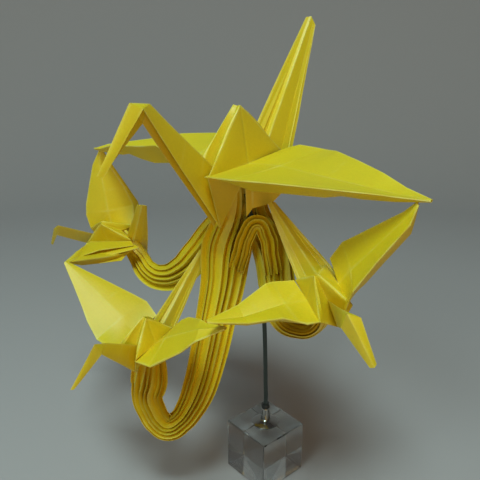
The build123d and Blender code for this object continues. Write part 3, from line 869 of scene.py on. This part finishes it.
def wear_and_highlight_group():
    """Mixes a paler colour in along the folds, as wear and painted highlight, broken up by a little noise."""
    nodes, given, out = new_tree(
        "fold_wear", "ShaderNodeTree",
        [("Colour", "NodeSocketColor", (1, 1, 1, 1)), ("Worn colour", "NodeSocketColor", (1, 1, 1, 1)),
         ("Fold", "NodeSocketFloat", 0.0), ("Strength", "NodeSocketFloat", 0.5)],
        [("Colour", "NodeSocketColor")],
    )
    uneven = nodes.remap(nodes.soft_noise(nodes.object_coordinates(), WEAR_AND_HIGHLIGHT_PATCHES, 3), 0.35, 0.65, 0.25, 1.2)
    share = nodes.maths("MULTIPLY", nodes.maths("MULTIPLY", given["Fold"], uneven), given["Strength"])
    share.node.use_clamp = True
    mix = nodes.add("ShaderNodeMix", data_type="RGBA")
    factor, colour, worn_colour = (mix.inputs[k] for k in (0, 6, 7))
    nodes.fill((factor, colour, worn_colour), (share, given["Colour"], given["Worn colour"]))
    nodes.link(mix.outputs[2], out["Colour"])
    return nodes.tree


FIBRES, WEAR_AND_HIGHLIGHT = fibre_group(), wear_and_highlight_group()
print("shader groups:", FIBRES.name, WEAR_AND_HIGHLIGHT.name)

# %% Paper materials
PAPER_YELLOW = (0.76, 0.545, 0.001, 1)
# The paler yellow along the folds is partly rubbed wear and partly a painted highlight on the crease
WORN_AND_HIGHLIT_YELLOW = (0.84, 0.74, 0.18, 1)
GLOW_DEPTH = (1.0, 0.50, 0.03)            # how far red, green and blue scatter, in GLOW_SCALE
GLOW_SCALE, FIBRE_RELIEF = 0.0006, 0.0002


def principled(name, **values):
    material = bpy.data.materials.new(name)
    material.use_nodes = True
    nodes, shader = Nodes(material.node_tree), material.node_tree.nodes["Principled BSDF"]
    nodes.plug(shader, **values)
    return material, nodes, shader


def paper_material(name, mottle, wear_and_highlight, bump):
    material, nodes, shader = principled(
        name, Roughness=0.55, Specular_IOR_Level=0.85, Subsurface_Weight=0.12,
        Subsurface_Radius=GLOW_DEPTH, Subsurface_Scale=GLOW_SCALE,
    )
    # Along the folds a paler colour is mixed in, partly rubbed wear and partly a painted highlight
    fibres, worn_and_highlit = (nodes.add("ShaderNodeGroup", node_tree=tree) for tree in (FIBRES, WEAR_AND_HIGHLIGHT))
    fold = nodes.add("ShaderNodeAttribute", attribute_name="fold").outputs["Fac"]
    nodes.plug(fibres, Colour=PAPER_YELLOW, Mottle=mottle)
    nodes.plug(worn_and_highlit, Colour=fibres.outputs["Colour"], Worn_colour=WORN_AND_HIGHLIT_YELLOW, Fold=fold, Strength=wear_and_highlight)
    relief = nodes.add("ShaderNodeBump")
    nodes.plug(relief, Strength=bump, Distance=FIBRE_RELIEF, Height=fibres.outputs["Height"])
    nodes.plug(shader, Base_Color=worn_and_highlit.outputs["Colour"], Normal=relief.outputs["Normal"])
    return material


PANEL_PAPER = paper_material("yellow_paper", mottle=0.12, wear_and_highlight=0.75, bump=0.25)
PLEAT_PAPER = paper_material("pleated_paper", mottle=0.14, wear_and_highlight=0.5, bump=0.2)
for piece in crane_pieces:
    piece.data.materials.clear()
    piece.data.materials.append(PANEL_PAPER)
print("paper materials:", PANEL_PAPER.name, PLEAT_PAPER.name)

# %% [markdown]
# ## Where the arms run
#
# Each arm's path and width are measured from the photograph, in millimetres. The path is a smooth
# curve through a few points, and each point's radius holds the strip's width there, so that one
# curve carries both. `start` and `end` say how far forward on its crane's belly each end sits. One
# more bunch of pleats runs up out of the lower left arm, turns over below the large crane's belly
# and runs down to the right arm.

# %% Measured arms
ARMS = {
    "upper_left": dict(
        start=-1, end=-6, pleats=5, seed=3.0,
        path=((-16, 3, 149), (-25.5, 4, 141), (-36.5, 6, 126.5), (-45.5, 10, 116), (-57.5, 20, 108.5),
              (-66.5, 30, 108.5), (-72.5, 40, 112.5)),
        widths=(14, 15, 16, 16, 15, 13, 12, 11, 10)),
    "lower_left": dict(
        start=4, end=-4, pleats=7, seed=8.0,
        path=((-16, 1, 148), (-20.5, -5.5, 134), (-22.5, -10, 117), (-26, -14, 100), (-29, -18, 85.5),
              (-34.4, -23, 66), (-39, -25.5, 56.3), (-43.8, -26.5, 49.8), (-50.1, -27, 46.4),
              (-54.6, -27.5, 50), (-57.8, -28, 57.1), (-59.6, -28.5, 65), (-57.8, -29, 73.2)),
        widths=(16, 21, 24, 21, 19, 18, 16, 13.5, 12, 13, 13.5, 14, 14.5, 17, 20)),
    "right": dict(
        start=-8, end=0, pleats=6, seed=5.0,
        path=((-7.7, 3, 149), (0.5, -5.5, 136.5), (3.5, -15, 121), (3.5, -22, 113.5), (5.5, -29, 108),
              (11, -37, 107.5), (17, -43.5, 112)),
        widths=(14, 17, 19, 18, 15, 12, 10, 9.5, 10)),
}
GATHER_PATH = (
    (-15.5, -8.5, 124), (-13.3, -10.5, 133), (-10.8, -11, 142), (-5.6, -11, 148.3), (-1.4, -11.3, 142),
    (0.3, -12.4, 133), (1.8, -13.4, 124),
)
BELLY = -0.02             # how high on a crane an arm ends, as a share of its square
print("arms have", [arm["pleats"] for arm in ARMS.values()], "pleats")

# %% Make the arms
PLEAT_DEPTH, PLEAT_WALL = 2.9, 0.2
PLEAT_CRISP = 25          # degrees; a sharper fold stays a crisp edge
ARM_CURL, GATHER_CURL, GATHER_WIDTH = 0.16, 0.05, 8.5
CURVE_STEPS = 16


def path_curve(name, points, widths):
    curve = bpy.data.curves.new(name, "CURVE")
    curve.dimensions = "3D"
    curve.resolution_u = CURVE_STEPS
    spline = curve.splines.new("BEZIER")
    spline.bezier_points.add(len(points) - 1)
    for knot, point, width in zip(spline.bezier_points, points, widths):
        knot.co = Vector(point) * MM
        knot.radius = width * MM
        knot.handle_left_type = knot.handle_right_type = "AUTO"
    path = bpy.data.objects.new(name, curve)
    bpy.context.collection.objects.link(path)
    return path


def side_facing(crane):
    """The side of a crane's body that is turned to the front."""
    across = crane_place(crane).to_3x3() @ Vector((0, 1, 0))
    return across if across.dot(FACE_TO) > 0 else -across


def pleated_strip(name, points, widths, pleats, seed, facings=(FACE_TO, FACE_TO), curl=ARM_CURL):
    path = path_curve(name + "_path", points, widths)
    strip = bpy.data.objects.new(name, bpy.data.meshes.new(name))
    bpy.context.collection.objects.link(strip)
    bend = strip.modifiers.new("pleats", "NODES")
    bend.node_group = PLEATED_STRIP
    values = {"Path": path, "Pleats": pleats, "Steps": CURVE_STEPS * len(points), "Depth": PLEAT_DEPTH * MM,
              "Curl": curl, "Start facing": facings[0], "End facing": facings[1], "Seed": seed,
              "Material": PLEAT_PAPER}
    for item in PLEATED_STRIP.interface.items_tree:
        if item.in_out == "INPUT" and item.name in values:
            bend[item.identifier] = values[item.name]
    wall = strip.modifiers.new("paper thickness", "SOLIDIFY")
    wall.thickness, wall.offset = PLEAT_WALL * MM, 0
    flattened(strip, sharp=PLEAT_CRISP)
    bpy.data.objects.remove(path)
    return strip


arm_pieces = []
for name, arm in ARMS.items():
    first = crane_place(CRANES["large"]) @ Vector((arm["start"], 0, BELLY * LARGE_SQUARE))
    last = crane_place(CRANES[name]) @ Vector((arm["end"], 0, BELLY * SMALL_SQUARE))
    points = [first, *arm["path"], last]
    facings = side_facing(CRANES["large"]), side_facing(CRANES[name])
    given = arm["widths"], arm["pleats"], arm["seed"]
    arm_pieces.append(pleated_strip("arm_" + name, points, *given, facings))
gather_widths = [GATHER_WIDTH] * len(GATHER_PATH)
arm_pieces.append(pleated_strip(
    "gathered_pleats", GATHER_PATH, gather_widths, pleats=4, seed=2.0, curl=GATHER_CURL,
))

for piece in [*crane_pieces, *arm_pieces]:
    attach(piece, "root")
    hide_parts("folded_sheet")

# %% [markdown]
# ## The stand
#
# The socket is one turned piece of plated metal, so its profile is spun round the wire, and fine
# stretched noise in its gloss stands for the tool's marks. The collar is turned as well. The wire
# is a slightly bent rod with a thin dark green coat, best made from a curve with a round bevel. The
# block is clear plastic with fine bevels, and the construction model's own mesh already has its
# exact shape, so it only gets its material.

# %% Stand materials
METAL_GREY = (0.45, 0.44, 0.42, 1)
TURNING_MARKS = (60, 60, 2500)            # much finer along the axis than round it
PATCH_SCALE, HAZE_SCALE = 420, 180


def metal_material():
    material, nodes, shader = principled("bright_metal", Metallic=1.0, Base_Color=METAL_GREY)
    stretch = nodes.add("ShaderNodeMapping")
    nodes.plug(stretch, Vector=nodes.object_coordinates(), Scale=TURNING_MARKS)
    marks = nodes.soft_noise(stretch.outputs[0], 5, 2)
    nodes.plug(shader, Roughness=nodes.remap(marks, 0.0, 1.0, 0.08, 0.24))
    return material


def coated_material(name, dark, light, roughness):
    material, nodes, shader = principled(name, Roughness=roughness, Coat_Weight=0.3)
    colours = nodes.add("ShaderNodeValToRGB")
    colours.color_ramp.elements[0].color, colours.color_ramp.elements[1].color = dark, light
    nodes.plug(colours, Fac=nodes.soft_noise(nodes.object_coordinates(), PATCH_SCALE, 4))
    nodes.plug(shader, Base_Color=colours.outputs["Color"])
    return material


def clear_material():
    material, nodes, shader = principled(
        "clear_acrylic", Transmission_Weight=1.0, IOR=1.49, Base_Color=(0.97, 0.98, 0.98, 1),
    )
    haze = nodes.soft_noise(nodes.object_coordinates(), HAZE_SCALE, 2)
    nodes.plug(shader, Roughness=nodes.remap(haze, 0.0, 1.0, 0.0, 0.03))
    return material


BRIGHT_METAL = metal_material()
WIRE_COAT = coated_material("dark_wire", (0.004, 0.010, 0.008, 1), (0.014, 0.026, 0.020, 1), 0.35)
COLLAR_COAT = coated_material("dark_collar", (0.006, 0.006, 0.006, 1), (0.02, 0.02, 0.02, 1), 0.5)
CLEAR = clear_material()

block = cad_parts["clear_block"]
block.data.materials.clear()
block.data.materials.append(CLEAR)
print("stand materials:", [m.name for m in (BRIGHT_METAL, WIRE_COAT, COLLAR_COAT, CLEAR)])

# %% Turned pieces
BLOCK, SOCKET_TOP, COLLAR_RISE = 30, 9.2, 2.4
WIRE_RADIUS, COLLAR_RADIUS = 1.15, 2.2
CLEARANCE = 0.02
BORE = WIRE_RADIUS + CLEARANCE
SPIN_STEPS, TURNED_CRISP = 96, 35


def turned_piece(name, profile, material):
    """Spins a (radius, height) profile round the wire's foot."""
    bm = bmesh.new()
    line = [bm.verts.new(Vector((radius, 0, height)) * MM) for radius, height in profile]
    edges = [bm.edges.new(pair) for pair in zip(line, line[1:])]
    bmesh.ops.spin(bm, geom=[*line, *edges], cent=(0, 0, 0), axis=(0, 0, 1), angle=2 * pi,
                   steps=SPIN_STEPS, use_merge=True)
    bmesh.ops.remove_doubles(bm, verts=bm.verts, dist=SLIVER)
    bmesh.ops.recalc_face_normals(bm, faces=bm.faces)
    mesh = bpy.data.meshes.new(name)
    bm.to_mesh(mesh)
    bm.free()
    piece = bpy.data.objects.new(name, mesh)
    bpy.context.collection.objects.link(piece)
    mesh.materials.append(material)
    return flattened(piece, sharp=TURNED_CRISP)


def arc(centre, radius, start, end, count):
    """Points of a round from one angle to another, in degrees."""
    angles = np.radians(np.linspace(start, end, count))
    return [(centre[0] + radius * cos(a), centre[1] + radius * sin(a)) for a in angles]


# %% Socket
DOME_RADIUS, DOME_RISE, DOME_RIM = 7.2, 2.6, 0.6
SOCKET_FOOT, SOCKET_MOUTH = 2.7, 2.0
SOCKET_EDGE = 0.2         # the bevel at the dome's rim and at the mouth
BORE_START = 3            # how far above the block the closed profile starts inside the bore
FOOT_ROUND, NECK_GAP, NECK_LOSS = 0.5, 0.1, 0.4
NECK_FLARE = 1.6          # above 1 the neck widens mostly near its foot
dome_round = (DOME_RADIUS ** 2 + (DOME_RISE - DOME_RIM) ** 2) / (2 * (DOME_RISE - DOME_RIM))
dome_centre = DOME_RISE - dome_round
dome_line = [
    (x, BLOCK + dome_centre + sqrt(dome_round ** 2 - x ** 2))
    for x in np.linspace(DOME_RADIUS, SOCKET_FOOT + FOOT_ROUND, 16)
]
neck_line = []
for t in np.linspace(0, 1, 12):
    flare = (SOCKET_FOOT - SOCKET_MOUTH) * (1 - t) ** NECK_FLARE
    rise = NECK_GAP + t * (SOCKET_TOP - DOME_RISE - NECK_LOSS)
    neck_line.append((SOCKET_MOUTH + flare, BLOCK + DOME_RISE + rise))
socket_profile = [
    (BORE, BLOCK + BORE_START), (BORE, BLOCK + CLEARANCE), (DOME_RADIUS - SOCKET_EDGE, BLOCK + CLEARANCE),
    (DOME_RADIUS, BLOCK + SOCKET_EDGE), *dome_line, *neck_line,
    (SOCKET_MOUTH - SOCKET_EDGE, BLOCK + SOCKET_TOP), (BORE, BLOCK + SOCKET_TOP), (BORE, BLOCK + BORE_START),
]
socket_piece = turned_piece("socket", socket_profile, BRIGHT_METAL)

# %% Collar
FOOT_ARC, TOP_ARC = 0.4, 0.5
collar_foot, collar_top = BLOCK + SOCKET_TOP, BLOCK + SOCKET_TOP + COLLAR_RISE
collar_profile = [
    (BORE, collar_foot), (COLLAR_RADIUS - FOOT_ARC, collar_foot),
    *arc((COLLAR_RADIUS - FOOT_ARC, collar_foot + FOOT_ARC), FOOT_ARC, -80, 0, 6),
    *arc((COLLAR_RADIUS - TOP_ARC, collar_top - TOP_ARC), TOP_ARC, 0, 90, 8),
    (BORE, collar_top), (BORE, collar_foot),
]
collar_piece = turned_piece("collar", collar_profile, COLLAR_COAT)

# %% Wire
WIRE_PATH = ((0, 0, 50), (-4, 0, 122), (-8.5, 0, 148), (-11, 0, 160))
WIRE_SINK = 5             # how deep its foot stands in the socket
WIRE_CRISP = 50


def wire_piece():
    points = [(0, 0, BLOCK + SOCKET_TOP - WIRE_SINK), *WIRE_PATH]
    path = path_curve("stem", points, [1 / MM] * len(points))
    path.data.bevel_depth = WIRE_RADIUS * MM
    path.data.bevel_resolution = 7
    path.data.use_fill_caps = True
    piece = bpy.data.objects.new("wire", bpy.data.meshes.new_from_object(path))
    bpy.context.collection.objects.link(piece)
    bpy.data.objects.remove(path)
    piece.data.materials.append(WIRE_COAT)
    return flattened(piece, sharp=WIRE_CRISP)


wire = wire_piece()
for piece, node, slot in ((socket_piece, "stem_socket", "bright_metal"), (wire, "stem_wire", "dark_wire"),
                          (collar_piece, "stem_collar", "dark_collar")):
    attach(piece, "root")
    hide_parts(node)

# %% [markdown]
# ## Floor and light
#
# The photograph's light comes from high up in front, so the tops of the wings are pale and the arms
# lie in the large crane's shadow. One soft lamp stands there, and a second at the left softens the
# shade. In it the paper looks golden, as paper lights paper. Many light bounces could show that,
# but a weak warm lamp low in front does it at once, with the other two a little cool against it.
# The floor curves up into a wall on every side, so each view has the same pale ground behind.

# %% Floor
FLOOR_COLOUR = (0.48, 0.42, 0.42, 1)
FLOOR_MIDDLE, FLOOR_REACH, WALL_HEIGHT, FLOOR_BEND = (0, -0.7), 1.6, 1.7, 0.35
SPOKES, BEND_STEPS = 72, 14


def backdrop():
    """A round floor that curves up into a wall on every side."""
    flat = FLOOR_REACH - FLOOR_BEND
    line = [(r, 0.0) for r in (0.4, 0.8, flat)]
    line += [(flat + FLOOR_BEND * sin(a), FLOOR_BEND - FLOOR_BEND * cos(a))
             for a in np.linspace(0.1, pi / 2, BEND_STEPS)]
    line += [(FLOOR_REACH, WALL_HEIGHT)]
    turns = np.linspace(0, 2 * pi, SPOKES, endpoint=False)
    x, y = FLOOR_MIDDLE
    verts = [(x, y, 0.0)] + [(x + r * cos(a), y + r * sin(a), z) for r, z in line for a in turns]
    faces = [(0, 1 + k, 1 + (k + 1) % SPOKES) for k in range(SPOKES)]
    for ring in range(len(line) - 1):
        near, far = 1 + ring * SPOKES, 1 + (ring + 1) * SPOKES
        faces += [(near + k, far + k, far + (k + 1) % SPOKES, near + (k + 1) % SPOKES) for k in range(SPOKES)]
    mesh = bpy.data.meshes.new("floor")
    mesh.from_pydata(verts, [], faces)
    for face in mesh.polygons:
        face.use_smooth = True
    mesh.materials.append(principled("floor", Base_Color=FLOOR_COLOUR, Roughness=0.9)[0])
    floor = bpy.data.objects.new("floor", mesh)
    bpy.context.collection.objects.link(floor)
    return floor


floor = backdrop()
print("floor:", len(floor.data.polygons), "faces")

# %% Lamps
MIDDLE = (-0.03, 0, 0.14)
COOL, WARM = (0.70, 1.0, 1.0), (1.0, 0.62, 0.14)
LAMPS = (
    ("key", (-0.08, -0.42, 1.0), 0.25, 6.0, COOL),
    ("fill", (-0.50, -0.62, 0.80), 0.35, 2.7, COOL),
    ("glow", (0.20, -0.95, 0.25), 0.4, 1.7, WARM),
)
WORLD_COLOUR, WORLD_STRENGTH = (1.0, 0.94, 0.84, 1), 0.05

for name, at, size, power, colour in LAMPS:
    lamp = bpy.data.objects.new(name, bpy.data.lights.new(name, "AREA"))
    bpy.context.collection.objects.link(lamp)
    lamp.location = at
    lamp.rotation_euler = (Vector(at) - Vector(MIDDLE)).to_track_quat("Z", "Y").to_euler()
    lamp.data.size, lamp.data.energy, lamp.data.color = size, power, colour
world = bpy.data.worlds.new("soft light")
world.use_nodes = True
world.node_tree.nodes["Background"].inputs["Color"].default_value = WORLD_COLOUR
world.node_tree.nodes["Background"].inputs["Strength"].default_value = WORLD_STRENGTH
bpy.context.scene.world = world
bpy.context.scene.view_settings.view_transform = "Standard"
